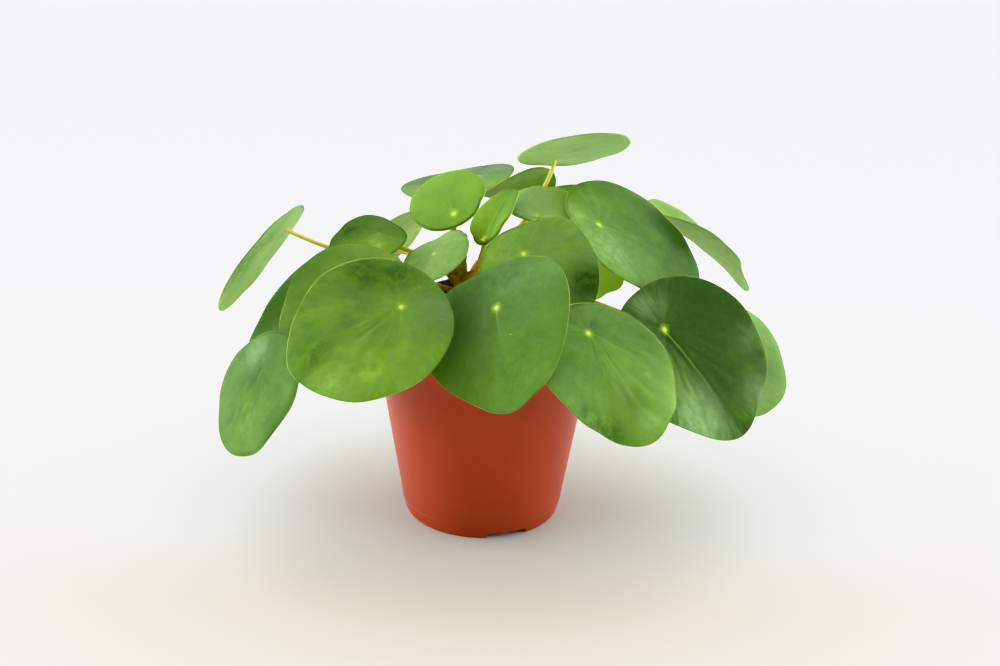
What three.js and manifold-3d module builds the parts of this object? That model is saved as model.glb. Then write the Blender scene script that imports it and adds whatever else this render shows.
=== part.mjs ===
// A potted Chinese money plant (Pilea peperomioides) in a plastic nursery pot.
// Millimetres, +Z up. The origin is where the pot's axis meets the surface it stands on.
// -Y is the side that faces the viewer.

import * as THREE from 'three'
import Module from 'manifold-3d'
import { mergeVertices } from 'three/addons/utils/BufferGeometryUtils.js'

const wasm = await Module()
wasm.setup()

// Driving dimensions

const GAP = 0.3 // clearance between pieces that touch
const WELD = 1e-4 // points closer than this are one point

const POT = {
  height: 106,
  wallRadius: 40.8, // where the straight wall would meet the table
  wallFlare: 0.1685, // radius gained per millimetre of height
  wall: 1.2,
  lip: 1.3, // how far the rolled rim stands out from the wall
  lipHeight: 4.5,
  stepHeight: 7.9, // the moulded line above the foot
  footCurve: 0.9, // how much the wall draws in between that line and the table
  segments: 60,
}

const BASE = {
  discRadius: 22, // the flat disc in the middle that the pot stands on
  channelInner: 24,
  channelOuter: 34, // the floor between disc and foot ring is raised
  channelHeight: 3,
  ringInner: 36,
}

const NOTCH = {
  bearings: [20, 140, 260], // degrees round from the viewer's side toward +X
  width: 21.5,
  height: 3.1,
  inner: 33, // cut from this radius outward through the foot ring
}

const DRAIN = { count: 6, radius: 3.2, ring: 29, sides: 12 }

const SOIL = {
  bottom: 4.5,
  edge: 104.5, // height of the soil against the wall
  crown: 5, // how much higher it is in the middle
  mound: { at: [-18, 46], height: 4.5, spread: 13 }, // heaped up at the back
  lump: { height: 0.8, pitch: [22, 28], phase: [0.6, -0.4] },
  holeClearance: 0.6,
  holeSides: 24,
  rings: 6,
  segments: 48,
}

const TRUNK = {
  path: [[-9, 0, 91], [-9, 0, 104], [-11.8, 0, 120], [-13.8, 1, 137], [-13, 1, 154]],
  rootRadius: 4.6,
  topRadius: 3.3,
  sides: 12,
  steps: 14,
  samples: 200,
}

const STALK = { rootRadius: 1.5, tipRadius: 1.05, sides: 6, steps: 8 }

const BLADE = {
  thickness: 0.9,
  egg: 0.1, // how much broader the outline is behind the stalk than at the tip
  creaseWidth: 10, // the fold along the midrib rounds off over this distance
  swellWidth: 16, // degrees over which a swell of the outline fades
  nipLength: 15,
  rings: [0.3, 0.6, 0.84, 1], // parts of the way from the stalk to the rim
  sectors: 18,
  slopeStep: 0.5,
}

// One row for each leaf.
// at: where the stalk meets the upper face.
// faces: the bearing, from +X toward +Y, and the elevation that the upper face looks to.
// turn: how far the tip is turned from straight downhill.
// size: length and width of the flat outline.
// seat: where the stalk sits, as a part of the length from the back edge.
// arch, droop, twist: how the blade bends along, across and from corner to corner.
// crease: how steeply the halves rise on both sides of the midrib.
// wave: number and height of the ripples round the rim.
// swell: where the outline stands out, or draws in if negative, as degrees round from the tip
// and millimetres.
// nip: how far along a tip starts to bend down sharply, and by how much.
// root: height where the stalk leaves the trunk, its rise, and its swing from the straight
// way to the blade.
// pull: how far the stalk keeps its first and its last direction, as parts of its reach.
// girth: thickness of the stalk against the usual one.
const LEAVES = [
  { at: [-104.5, 11, 150.5], faces: [161, 33], turn: 37, size: [69, 63], seat: 0.22,
    arch: 0.02, droop: 0.02, twist: 0.11, crease: 0.05,
    swell: [[110, 3.5], [255, -4], [310, -3]],
    root: [121, 0, -30], pull: [0.3, 0.08] },
  { at: [-109, -59, 102.5], faces: [-147, 34], turn: 18, size: [65, 62], seat: 0.31,
    arch: 0.07, droop: 0.04, twist: 0.03,
    swell: [[30, 1.6], [85, 1.6], [215, -1.2], [290, -1.2]],
    root: [119, 30, 0], pull: [0.35, 0.26] },
  { at: [-40, -72, 142.5], faces: [-99, 55], turn: -44, size: [82, 78], seat: 0.26,
    arch: 0.09, droop: 0.01, twist: -0.02, wave: [3, 0.6],
    swell: [[50, 1.4], [118, -1.1], [271, 1.1], [344, 1.4]],
    root: [113, 0, -10], pull: [0.23, 0.28] },
  { at: [-60.5, -31, 135.5], faces: [-107, 51], turn: -25, size: [72, 69], seat: 0.32,
    arch: 0.09, droop: 0.03,
    swell: [[240, 1.4], [270, 1.6], [320, 2]],
    root: [134, 10, 5], pull: [0.35, 0.21] },
  { at: [-88, 5, 113.5], faces: [-156, 43], turn: -32, size: [79, 75], seat: 0.32,
    arch: 0.06, droop: 0.05,
    swell: [[330, -2]],
    root: [112, 25, -15], pull: [0.3, 0.16] },
  { at: [-56, 10, 149.5], faces: [-108, 74], turn: -38, size: [40, 39], seat: 0.32,
    arch: 0.12, droop: 0, twist: 0.03,
    swell: [[148, 0.7], [190, -1.4], [240, 0.9], [292, -1.2]],
    root: [134, 45, 5], pull: [0.25, 0.21] },
  { at: [-62.5, 52, 126.5], faces: [143, 37], turn: -69, size: [61, 58], seat: 0.32,
    arch: 0.07, droop: 0.05,
    swell: [[0, 1]],
    root: [126, 40, 5], pull: [0.4, 0.1] },
  { at: [-7, 80, 157.5], faces: [158, 77], turn: 14, size: [63, 61], seat: 0.33,
    arch: -0.03, droop: 0.1, twist: 0.02,
    swell: [[50, 1], [235, 1.5], [285, -2]],
    root: [147, 45, 35], pull: [0.35, 0.26] },
  { at: [-16.5, -30, 175.5], faces: [-124, 56], turn: -131, size: [42, 40], seat: 0.21,
    arch: 0.13, droop: -0.04, twist: 0.02,
    swell: [[45, 0.8], [120, -0.6], [230, -1.6], [310, 0.8]],
    root: [152, 85, -120], pull: [0.49, 0.29] },
  { at: [-27, -11, 147], faces: [-160, 58], turn: 91, size: [41, 39], seat: 0.39,
    arch: 0.04, droop: 0, twist: 0.02,
    swell: [[35, 0.9], [90, -1.2], [160, -3], [204, 2.4]],
    root: [141, 15, 0], pull: [0.4, 0.21] },
  { at: [-1.5, -4, 153.5], faces: [-148, 43], turn: -156, size: [36, 26], seat: 0.12,
    arch: 0.14, droop: -0.32,
    swell: [[141, -1.3], [247, -2], [320, 1.5]],
    root: [127, 50, -20], pull: [0.3, 0.1], girth: 1.4 },
  { at: [23, 61, 156.5], faces: [100, 43], turn: 121, size: [41, 40], seat: 0.26,
    arch: 0.26, droop: -0.16, twist: -0.06, crease: 0.16,
    swell: [[45, -0.9]],
    root: [116, 35, -15], pull: [0.35, 0.21] },
  { at: [34, 44, 180.5], faces: [107, 57], turn: -156, size: [61, 58], seat: 0.21,
    arch: -0.01, droop: -0.03, twist: -0.04,
    swell: [[108, -1.8], [180, -2.4], [290, 1]],
    root: [129, 0, 10], pull: [0.5, 0.08] },
  { at: [25.5, 6, 163], faces: [-73, 78], turn: 142, size: [37, 35], seat: 0.18,
    arch: -0.04, droop: 0.03, twist: 0.02,
    swell: [[20, -1.7], [75, 1], [115, -1.3], [143, 1.8], [187, -2.5]],
    root: [121, 40, 5], pull: [0.4, 0.26] },
  { at: [52, 70, 146], faces: [92, 38], turn: 37, size: [59, 56], seat: 0.33,
    arch: 0.08, droop: 0.05,
    swell: [[0, 1]],
    root: [126, 65, -20], pull: [0.4, 0.26] },
  { at: [57.5, 7, 158], faces: [-25, 58], turn: 38, size: [85, 81], seat: 0.23,
    arch: 0.09, droop: -0.04, twist: 0.11, wave: [3, 0.6],
    swell: [[20, -2.5], [50, -3], [102, 1.6], [206, -4], [242, 2.4]],
    root: [131, 40, -15], pull: [0.3, 0.26] },
  { at: [104.5, 69, 132.5], faces: [23, 52], turn: -9, size: [67, 66], seat: 0.33,
    arch: 0.09, droop: -0.24, twist: 0.05, crease: 0.25,
    swell: [[-12, 5], [110, -1.5], [145, 1], [270, -2], [305, -2.5]], nip: [30, 5],
    root: [119, 20, 45], pull: [0.5, 0.3] },
  { at: [18.5, -28, 154.5], faces: [-104, 48], turn: 47, size: [63, 59], seat: 0.27,
    arch: 0.15, droop: 0, twist: 0.01,
    swell: [[122, 1.8], [163, -1.2], [199, 1.2], [232, -0.9]],
    root: [131, 25, -20], pull: [0.45, 0.21] },
  { at: [46, 10, 133.5], faces: [-30, 84], turn: -52, size: [51, 48], seat: 0.32,
    arch: 0.08, droop: 0.04,
    swell: [[40, -2.8]],
    root: [111, 0, 15], pull: [0.5, 0.15] },
  { at: [5.5, -74, 144], faces: [-137, 48], turn: 45, size: [83, 79], seat: 0.35,
    arch: 0.27, droop: -0.14, wave: [5, 0.8],
    swell: [[0, 1.4], [33, 1.5], [70, -1.2], [178, -1.8], [322, -1.5]],
    root: [117, 25, -30], pull: [0.4, 0.21] },
  { at: [50.5, -74, 132], faces: [-48, 58], turn: -7, size: [82, 77], seat: 0.23,
    arch: 0.19, droop: 0.02, twist: -0.11, wave: [5, 1.2],
    swell: [[36, -2.1], [86, 1.5], [122, -1.8], [273, 1.6], [322, -4], [345, -2.5]],
    root: [113, 5, -25], pull: [0.45, 0.35] },
  { at: [89.5, -45, 122.5], faces: [-58, 47], turn: 29, size: [87, 85], seat: 0.27,
    arch: 0.18, droop: -0.15, twist: 0.03, crease: 0.04, wave: [6, 0.9],
    swell: [[20, -3], [60, 1.7], [104, -1.3], [285, 1.6], [350, 1.8]],
    root: [111, 20, 5], pull: [0.3, 0.16] },
  { at: [118, 0, 99], faces: [-58, 54], turn: 16, size: [72, 69], seat: 0.32,
    arch: 0.06, droop: 0.05,
    swell: [[5, -0.9], [58, -1], [100, 0.8]],
    root: [116, 45, 0], pull: [0.35, 0.16] },
  { at: [-70, 62, 104], faces: [140, 46], turn: 10, size: [70, 67], seat: 0.31,
    arch: 0.1, droop: 0.03,
    swell: [[0, 1.2]],
    root: [117, 75, -20], pull: [0.5, 0.2] },
  { at: [-18, 92, 82], faces: [98, 42], turn: -12, size: [70, 67], seat: 0.3,
    arch: 0.12, droop: 0.04,
    swell: [[0, 1.2]],
    root: [124, 25, -25], pull: [0.5, 0.1] },
  { at: [38, 86, 84], faces: [66, 45], turn: 14, size: [60, 57], seat: 0.33,
    arch: 0.08, droop: 0.05,
    swell: [[0, 1.2]],
    root: [112, 45, 0], pull: [0.6, 0.16] },
]

const USUAL_LEAF = { twist: 0, crease: 0, wave: [0, 0], nip: [99, 0], girth: 1 }

// Colours, roughness and metalness

const MATERIALS = {
  pot: { color: 0xb2562f, roughness: 0.42, metalness: 0 },
  soil: { color: 0x1d1713, roughness: 0.95, metalness: 0 },
  trunk: { color: 0x6a5a35, roughness: 0.75, metalness: 0 },
  stalk: { color: 0x9fae4c, roughness: 0.5, metalness: 0 },
  blade: { color: 0x4f8a2f, roughness: 0.35, metalness: 0 },
}

const plant = new THREE.Group()

function addPiece(name, geometry, finish) {
  const mesh = new THREE.Mesh(geometry, new THREE.MeshStandardMaterial(finish))
  mesh.name = name
  plant.add(mesh)
  return mesh
}

// Solids for boolean cuts

function welded(geometry) {
  const bare = geometry.index ? geometry.toNonIndexed() : geometry.clone()
  bare.deleteAttribute('normal')
  bare.deleteAttribute('uv')
  return mergeVertices(bare, WELD)
}

function solidOf(geometry) {
  const merged = welded(geometry)
  return new wasm.Manifold(new wasm.Mesh({
    numProp: 3,
    vertProperties: merged.attributes.position.array,
    triVerts: new Uint32Array(merged.index.array),
  }))
}

function geometryOf(solid) {
  const mesh = solid.getMesh()
  const geometry = new THREE.BufferGeometry()
  geometry.setAttribute('position', new THREE.BufferAttribute(mesh.vertProperties, 3))
  geometry.setIndex(new THREE.BufferAttribute(mesh.triVerts, 1))
  geometry.computeVertexNormals()
  return geometry
}

function facesOf(points, triangles) {
  const geometry = new THREE.BufferGeometry()
  const numbers = points.flatMap((point) => point.toArray())
  geometry.setAttribute('position', new THREE.Float32BufferAttribute(numbers, 3))
  geometry.setIndex(triangles.flat())
  geometry.computeVertexNormals()
  return geometry
}

// Turned bodies stand on +Z

function turned(profile, segments) {
  const points = profile.map(([radius, height]) => new THREE.Vector2(radius, height))
  return new THREE.LatheGeometry(points, segments).rotateX(Math.PI / 2)
}

// The pot

function wallRadiusAt(z) {
  const drawnIn = Math.max(0, 1 - z / POT.stepHeight)
  return POT.wallRadius + POT.wallFlare * z - POT.footCurve * drawnIn * drawnIn
}

function potProfile() {
  const { height, wall, lip, lipHeight, stepHeight } = POT
  const { discRadius, channelInner, channelOuter, channelHeight, ringInner } = BASE
  const rimOuter = wallRadiusAt(height) + lip
  const outside = [
    [0, 0],
    [discRadius, 0],
    [channelInner, channelHeight],
    [channelOuter, channelHeight],
    [ringInner, 0],
    [wallRadiusAt(0), 0],
    [wallRadiusAt(stepHeight / 3), stepHeight / 3],
    [wallRadiusAt(stepHeight), stepHeight],
    [wallRadiusAt(height - lipHeight), height - lipHeight],
    [rimOuter, height - lipHeight + lip],
    [rimOuter, height - lip / 2],
    [rimOuter - lip / 2, height],
  ]
  const inside = [
    [wallRadiusAt(height) - wall, height],
    [wallRadiusAt(stepHeight) - wall, stepHeight],
    [wallRadiusAt(0) - wall, wall],
    [ringInner + wall, wall],
    [channelOuter, channelHeight + wall],
    [channelInner, channelHeight + wall],
    [discRadius, wall],
    [0, wall],
  ]
  return [...outside, ...inside]
}

function makePot() {
  let pot = solidOf(turned(potProfile(), POT.segments))
  const outer = wallRadiusAt(0) + POT.wall
  for (const bearing of NOTCH.bearings) {
    const length = outer - NOTCH.inner
    const cutter = new THREE.BoxGeometry(length, NOTCH.width, 2 * NOTCH.height)
    cutter.translate(NOTCH.inner + length / 2, 0, 0)
    cutter.rotateZ(THREE.MathUtils.degToRad(bearing - 90))
    pot = pot.subtract(solidOf(cutter))
  }
  for (let i = 0; i < DRAIN.count; i += 1) {
    const angle = (i / DRAIN.count) * 2 * Math.PI
    const { radius, ring, sides } = DRAIN
    const cutter = new THREE.CylinderGeometry(radius, radius, 4 * POT.wall, sides)
    cutter.rotateX(Math.PI / 2)
    cutter.translate(ring * Math.cos(angle), ring * Math.sin(angle), BASE.channelHeight)
    pot = pot.subtract(solidOf(cutter))
  }
  addPiece('pot', geometryOf(pot), MATERIALS.pot)
}

// The soil, higher in the middle, with a plain hole for the trunk

function soilEdgeRadius() {
  return wallRadiusAt(SOIL.edge) - POT.wall - GAP
}

function soilHeight(x, y) {
  const out = Math.min(1, Math.hypot(x, y) / soilEdgeRadius())
  const rise = SOIL.crown * (1 - out ** 2)
  const { at, height, spread } = SOIL.mound
  const away = Math.hypot(x - at[0], y - at[1]) / spread
  const heap = height * Math.exp(-(away ** 2))
  const { pitch, phase } = SOIL.lump
  const alongX = Math.sin((2 * Math.PI * x) / pitch[0] + phase[0])
  const alongY = Math.sin((2 * Math.PI * y) / pitch[1] + phase[1])
  const lump = SOIL.lump.height * alongX * alongY * (1 - out ** 4)
  return SOIL.edge + rise + heap + lump
}

function soilProfile() {
  const profile = [
    [0, SOIL.bottom],
    [wallRadiusAt(0) - POT.wall, SOIL.bottom],
    [wallRadiusAt(POT.stepHeight) - POT.wall - GAP, POT.stepHeight],
  ]
  for (let i = 0; i <= SOIL.rings; i += 1) {
    profile.push([soilEdgeRadius() * (1 - i / SOIL.rings), SOIL.edge])
  }
  return profile
}

function makeSoil() {
  const body = welded(turned(soilProfile(), SOIL.segments))
  const position = body.attributes.position
  for (let i = 0; i < position.count; i += 1) {
    if (position.getZ(i) > POT.stepHeight + WELD) {
      position.setZ(i, soilHeight(position.getX(i), position.getY(i)))
    }
  }
  const [x, y, foot] = TRUNK.path[0]
  const radius = TRUNK.rootRadius + SOIL.holeClearance
  const depth = SOIL.edge + SOIL.crown - foot + GAP
  const hole = new THREE.CylinderGeometry(radius, radius, 2 * depth, SOIL.holeSides)
  hole.rotateX(Math.PI / 2)
  hole.translate(x, y, SOIL.edge + SOIL.crown)
  addPiece('soil', geometryOf(solidOf(body).subtract(solidOf(hole))), MATERIALS.soil)
}

// Round stems, tapered along a curve, closed at both ends

function stem(curve, radiusAt, sides, steps) {
  const frames = curve.computeFrenetFrames(steps, false)
  const points = [curve.getPointAt(0)]
  for (let i = 0; i <= steps; i += 1) {
    const centre = curve.getPointAt(i / steps)
    const radius = radiusAt(i / steps)
    for (let k = 0; k < sides; k += 1) {
      const angle = (k / sides) * 2 * Math.PI
      points.push(centre.clone()
        .addScaledVector(frames.normals[i], radius * Math.cos(angle))
        .addScaledVector(frames.binormals[i], radius * Math.sin(angle)))
    }
  }
  points.push(curve.getPointAt(1))
  const triangles = []
  const last = points.length - 1
  for (let k = 0; k < sides; k += 1) {
    const next = (k + 1) % sides
    triangles.push([0, 1 + next, 1 + k])
    for (let i = 0; i < steps; i += 1) {
      const a = 1 + i * sides + k
      const b = 1 + i * sides + next
      triangles.push([a, b, b + sides], [a, b + sides, a + sides])
    }
    triangles.push([1 + steps * sides + k, 1 + steps * sides + next, last])
  }
  return facesOf(points, triangles)
}

const trunkCurve = new THREE.CatmullRomCurve3(
  TRUNK.path.map((point) => new THREE.Vector3(...point)))

function trunkRadiusAt(part) {
  return THREE.MathUtils.lerp(TRUNK.rootRadius, TRUNK.topRadius, part)
}

function makeTrunk() {
  addPiece('trunk', stem(trunkCurve, trunkRadiusAt, TRUNK.sides, TRUNK.steps), MATERIALS.trunk)
}

// The trunk's middle and radius where it is nearest to a height

function trunkAt(height) {
  let nearest = 0
  for (let i = 0; i <= TRUNK.samples; i += 1) {
    const part = i / TRUNK.samples
    const gap = Math.abs(trunkCurve.getPointAt(part).z - height)
    if (gap < Math.abs(trunkCurve.getPointAt(nearest).z - height)) nearest = part
  }
  return { centre: trunkCurve.getPointAt(nearest), radius: trunkRadiusAt(nearest) }
}

// Leaves

function leafFrame(leaf) {
  const bearing = THREE.MathUtils.degToRad(leaf.faces[0])
  const elevation = THREE.MathUtils.degToRad(leaf.faces[1])
  const turn = THREE.MathUtils.degToRad(leaf.turn)
  const up = new THREE.Vector3(
    Math.cos(elevation) * Math.cos(bearing),
    Math.cos(elevation) * Math.sin(bearing),
    Math.sin(elevation))
  const downhill = new THREE.Vector3(
    Math.sin(elevation) * Math.cos(bearing),
    Math.sin(elevation) * Math.sin(bearing),
    -Math.cos(elevation))
  const across = up.clone().cross(downhill)
  const tip = downhill.clone().multiplyScalar(Math.cos(turn))
  tip.addScaledVector(across, Math.sin(turn))
  return { up, tip, side: up.clone().cross(tip), origin: new THREE.Vector3(...leaf.at) }
}

function bladeHeight(leaf, u, v) {
  const [length, width] = leaf.size
  const bend = (leaf.arch * u * u + leaf.droop * v * v - leaf.twist * u * v) / length
  const fold = (leaf.crease * v * v) / (Math.abs(v) + BLADE.creaseWidth)
  const [count, height] = leaf.wave
  const out = Math.hypot(u, v) / (width / 2)
  const ripple = height * out ** 3 * Math.sin(count * Math.atan2(v, u))
  const [start, drop] = leaf.nip
  const nip = drop * (Math.max(0, u - start) / BLADE.nipLength) ** 2
  return fold - bend + ripple - nip
}

function bladeOutline(leaf, angle) {
  const [length, width] = leaf.size
  const forward = 0.5 * length * Math.cos(angle)
  const aside = 0.5 * width * Math.sin(angle) * (1 - BLADE.egg * Math.cos(angle))
  let stretch = 1
  for (const [bearing, push] of leaf.swell) {
    const turned = THREE.MathUtils.radToDeg(angle) - bearing
    const away = THREE.MathUtils.euclideanModulo(turned + 180, 360) - 180
    stretch += push * Math.exp(-((away / BLADE.swellWidth) ** 2)) / Math.hypot(forward, aside)
  }
  return [(0.5 - leaf.seat) * length + forward * stretch, aside * stretch]
}

function bladeFaces(leaf, u, v) {
  const step = BLADE.slopeStep
  const riseU = bladeHeight(leaf, u + step, v) - bladeHeight(leaf, u - step, v)
  const riseV = bladeHeight(leaf, u, v + step) - bladeHeight(leaf, u, v - step)
  const top = new THREE.Vector3(u, v, bladeHeight(leaf, u, v))
  const normal = new THREE.Vector3(-riseU, -riseV, 2 * step).normalize()
  return { top, under: top.clone().addScaledVector(normal, -BLADE.thickness) }
}

function blade(leaf) {
  const { up, tip, side, origin } = leafFrame(leaf)
  const toWorld = new THREE.Matrix4().makeBasis(tip, side, up).setPosition(origin)
  const grid = [[0, 0]]
  for (const ring of BLADE.rings) {
    for (let k = 0; k < BLADE.sectors; k += 1) {
      const [u, v] = bladeOutline(leaf, (k / BLADE.sectors) * 2 * Math.PI)
      grid.push([ring * u, ring * v])
    }
  }
  const faces = grid.map(([u, v]) => bladeFaces(leaf, u, v))
  const points = [...faces.map((f) => f.top), ...faces.map((f) => f.under)]
  for (const point of points) point.applyMatrix4(toWorld)
  const under = grid.length
  const triangles = []
  const both = (a, b, c) => triangles.push([a, b, c], [under + a, under + c, under + b])
  for (let k = 0; k < BLADE.sectors; k += 1) {
    const next = (k + 1) % BLADE.sectors
    both(0, 1 + k, 1 + next)
    for (let ring = 0; ring < BLADE.rings.length - 1; ring += 1) {
      const a = 1 + ring * BLADE.sectors + k
      const b = 1 + ring * BLADE.sectors + next
      both(a, a + BLADE.sectors, b + BLADE.sectors)
      both(a, b + BLADE.sectors, b)
    }
    const a = 1 + (BLADE.rings.length - 1) * BLADE.sectors + k
    const b = 1 + (BLADE.rings.length - 1) * BLADE.sectors + next
    triangles.push([a, under + a, under + b], [a, under + b, b])
  }
  return facesOf(points, triangles)
}

// A stalk leaves the trunk outward and rises into the underside of its blade

function stalkCurve(leaf) {
  const { up, origin } = leafFrame(leaf)
  const end = origin.clone().addScaledVector(up, -(BLADE.thickness + GAP))
  const [height, rise, swing] = leaf.root
  const { centre, radius } = trunkAt(height)
  const bearing = Math.atan2(end.y - centre.y, end.x - centre.x) + THREE.MathUtils.degToRad(swing)
  const slope = THREE.MathUtils.degToRad(rise)
  const outward = new THREE.Vector3(Math.cos(bearing), Math.sin(bearing), 0)
  const leaving = outward.clone().multiplyScalar(Math.cos(slope)).setZ(Math.sin(slope))
  const clear = radius + GAP + stalkRadiusAt(leaf, 0) * Math.sin(slope)
  const start = centre.clone().addScaledVector(outward, clear)
  const reach = start.distanceTo(end)
  const leave = start.clone().addScaledVector(leaving, leaf.pull[0] * reach)
  const arrive = end.clone().addScaledVector(up, -leaf.pull[1] * reach)
  return new THREE.CubicBezierCurve3(start, leave, arrive, end)
}

function stalkRadiusAt(leaf, part) {
  return leaf.girth * THREE.MathUtils.lerp(STALK.rootRadius, STALK.tipRadius, part)
}

function makeLeaves() {
  LEAVES.forEach((row, i) => {
    const leaf = { ...USUAL_LEAF, ...row }
    const number = String(i + 1).padStart(2, '0')
    const radiusAt = (part) => stalkRadiusAt(leaf, part)
    const stalk = stem(stalkCurve(leaf), radiusAt, STALK.sides, STALK.steps)
    addPiece(`stalk_${number}`, stalk, MATERIALS.stalk)
    addPiece(`leaf_${number}`, blade(leaf), MATERIALS.blade)
  })
}

makePot()
makeSoil()
makeTrunk()
makeLeaves()

export default plant
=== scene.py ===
# %% [markdown]
# A potted Chinese money plant
#
# This lesson dresses a finished construction model in Blender. The plant is a
# Pilea peperomioides: round leaves, each held from below by a long stalk, all
# growing from one short woody trunk in a plastic nursery pot.
#
# The construction model is loaded first and never moved. It says how big
# everything is, and finer pieces then replace its own in the same places.

# %% Load the construction model
import math
import random
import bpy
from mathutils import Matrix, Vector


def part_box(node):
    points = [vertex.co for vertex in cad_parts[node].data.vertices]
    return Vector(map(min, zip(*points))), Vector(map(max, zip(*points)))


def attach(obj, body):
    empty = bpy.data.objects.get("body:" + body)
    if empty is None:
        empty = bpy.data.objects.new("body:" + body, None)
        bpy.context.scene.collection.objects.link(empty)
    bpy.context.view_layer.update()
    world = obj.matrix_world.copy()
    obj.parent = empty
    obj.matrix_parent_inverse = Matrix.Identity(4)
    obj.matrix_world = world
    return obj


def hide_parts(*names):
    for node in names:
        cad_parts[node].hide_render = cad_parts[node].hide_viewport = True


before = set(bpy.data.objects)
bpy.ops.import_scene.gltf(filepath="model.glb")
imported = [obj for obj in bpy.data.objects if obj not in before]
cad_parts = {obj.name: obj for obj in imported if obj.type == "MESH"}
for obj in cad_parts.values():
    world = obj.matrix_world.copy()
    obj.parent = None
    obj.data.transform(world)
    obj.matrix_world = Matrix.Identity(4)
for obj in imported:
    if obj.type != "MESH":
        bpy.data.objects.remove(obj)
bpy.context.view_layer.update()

from types import SimpleNamespace as Sizes

import bmesh
import bpy
import numpy as np
from mathutils import Matrix, Vector, noise

# %% [markdown]
# The camera
#
# A camera is a place, a direction and a lens. Here they were worked out from the pot: its rim and its foot
# are circles of known size, so the shape of their ellipses says where the viewer stood.

# %% Place the camera
CAMERA_PLACE = (0.00778, -1.01258, 0.52892)
CAMERA_PITCH = 22.99  # degrees below the horizon
CAMERA_ROLL = 1.34
camera_data = bpy.data.cameras.new("viewer")
camera_data.lens = 50
camera_data.sensor_width = 23.6
camera = bpy.data.objects.new("viewer", camera_data)
tilt = Matrix.Rotation(math.radians(90 - CAMERA_PITCH), 4, "X")
roll = Matrix.Rotation(math.radians(CAMERA_ROLL), 4, "Z")
camera.matrix_world = Matrix.Translation(CAMERA_PLACE) @ tilt @ roll
bpy.context.scene.collection.objects.link(camera)
bpy.context.scene.camera = camera
print("camera distance from the pot's axis:", round(Vector(CAMERA_PLACE).length, 3), "m")

# %% [markdown]
# Helpers for meshes and materials
#
# Every mesh here is a list of points and faces. Most are round nets: a fan about one point and rings of
# faces outward, so one helper makes their faces. Another stores a number at each vertex, an attribute,
# which tells the material where it is on a leaf without any picture. The last gives the finished piece its
# material, hangs it on the plant's body and hides the construction piece that it replaces.

# %% Mesh helpers
MM = 0.001
SHARP = math.radians(40)


def shown(name, mesh):
    piece = bpy.data.objects.new(name, mesh)
    bpy.context.scene.collection.objects.link(piece)
    return piece


def solid(name, points, faces, smooth=True):
    """A closed mesh object with its faces turned outward."""
    mesh = bpy.data.meshes.new(name)
    mesh.from_pydata([tuple(p) for p in points], [], faces)
    shape = bmesh.new()
    shape.from_mesh(mesh)
    bmesh.ops.recalc_face_normals(shape, faces=shape.faces)
    shape.to_mesh(mesh)
    shape.free()
    if smooth:
        mesh.shade_smooth()
        mesh.set_sharp_from_angle(angle=SHARP)
    return shown(name, mesh)


def net(rings, spokes):
    """Faces of a round net: a fan about point 0, then rings of four-sided faces."""
    faces = []
    for k in range(spokes):
        n = (k + 1) % spokes
        faces.append((0, 1 + k, 1 + n))
        starts = range(1, 1 + (rings - 1) * spokes, spokes)
        faces += [(a + k, a + spokes + k, a + spokes + n, a + n) for a in starts]
    return faces


def closed_net(rings, spokes):
    """The same net with a second fan about one last point behind the last ring."""
    a = 1 + (rings - 1) * spokes
    return net(rings, spokes) + [(a + k, a + (k + 1) % spokes, a + spokes) for k in range(spokes)]


def paint(piece, name, values):
    """Store one number at each vertex."""
    layer = piece.data.attributes.new(name, "FLOAT", "POINT")
    layer.data.foreach_set("value", np.asarray(values, np.float32))


def hand_over(piece, material, node):
    """Give a piece its material, its body and the node that it replaces."""
    piece.data.materials.clear()
    piece.data.materials.append(material)
    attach(piece, "root")
    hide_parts(node)


# %% [markdown]
# A material is a tree of small nodes, and a long sum takes many Math nodes. The
# Value class lets us write such a sum as plain arithmetic: each sign adds its node.

# %% Material helpers
class Value:
    """A number in a node tree. Arithmetic with it adds Math nodes."""

    def __init__(self, nodes, socket):
        self.nodes = nodes
        self.socket = socket

    def __add__(self, other):
        return self.nodes.sum("ADD", self, other)

    def __sub__(self, other):
        return self.nodes.sum("SUBTRACT", self, other)

    def __mul__(self, other):
        return self.nodes.sum("MULTIPLY", self, other)

    def __abs__(self):
        return self.nodes.sum("ABSOLUTE", self)


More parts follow.
